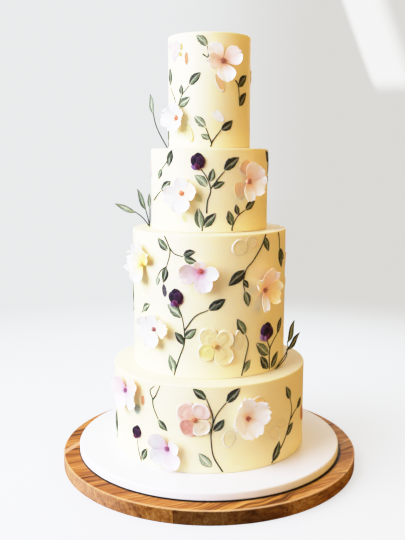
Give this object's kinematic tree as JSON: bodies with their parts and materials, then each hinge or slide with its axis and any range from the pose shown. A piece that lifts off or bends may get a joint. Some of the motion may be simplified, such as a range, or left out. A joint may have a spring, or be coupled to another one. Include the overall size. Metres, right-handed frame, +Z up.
{
  "type": "tiered wedding cake",
  "caption": "Tall round tiered cake in pale buttercream with knife-painted sprigs and sugar flowers, standing on a covered drum and a round wooden board.",
  "frame": {"origin": "centre of the wooden board's underside, on the surface it stands on", "axes": "+Z up the cake, -Y towards the side shown as the front"},
  "size_m": [0.4, 0.4, 0.5627],
  "materials": {
    "board_wood": "oiled hardwood, streaked honey brown",
    "drum_icing": "smooth white sugar paste on a cake drum",
    "cake_icing": "scraped pale yellow buttercream with painted green sprigs",
    "sugar_petal": "thin matt wafer petals with blushed middles",
    "piped_petal": "thick knife-spread icing petals",
    "pansy_bud": "dark purple sugar bud, satin",
    "spray_leaf": "thin dusted green sugar leaves on wire"
  },
  "bodies": {
    "root": {"wood_board": "board_wood", "cake_drum": "drum_icing", "tier_1": "cake_icing", "tier_2": "cake_icing", "tier_3": "cake_icing", "tier_4": "cake_icing", "flower_4a": "sugar_petal", "flower_4b": "sugar_petal", "flower_3a": "sugar_petal", "flower_3b": "sugar_petal", "flower_2a": "sugar_petal", "flower_2b": "sugar_petal", "flower_2c": "sugar_petal", "flower_2d": "sugar_petal", "flower_1a": "sugar_petal", "flower_1b": "sugar_petal", "flower_1d": "sugar_petal", "flower_4c": "sugar_petal", "flower_4d": "sugar_petal", "flower_3c": "sugar_petal", "flower_3d": "sugar_petal", "flower_2f": "sugar_petal", "flower_2g": "sugar_petal", "flower_2i": "sugar_petal", "flower_1e": "sugar_petal", "flower_1g": "sugar_petal", "flower_1h": "sugar_petal", "flower_2e": "piped_petal", "flower_1c": "piped_petal", "flower_1f": "piped_petal", "bud_3a": "pansy_bud", "bud_2a": "pansy_bud", "bud_2b": "pansy_bud", "bud_1a": "pansy_bud", "bud_4b": "pansy_bud", "bud_2c": "pansy_bud", "bud_1b": "pansy_bud", "spray_4": "spray_leaf", "spray_3": "spray_leaf", "spray_2": "spray_leaf", "spray_3_back": "spray_leaf", "spray_2_back": "spray_leaf"}
  },
  "joints": []
}
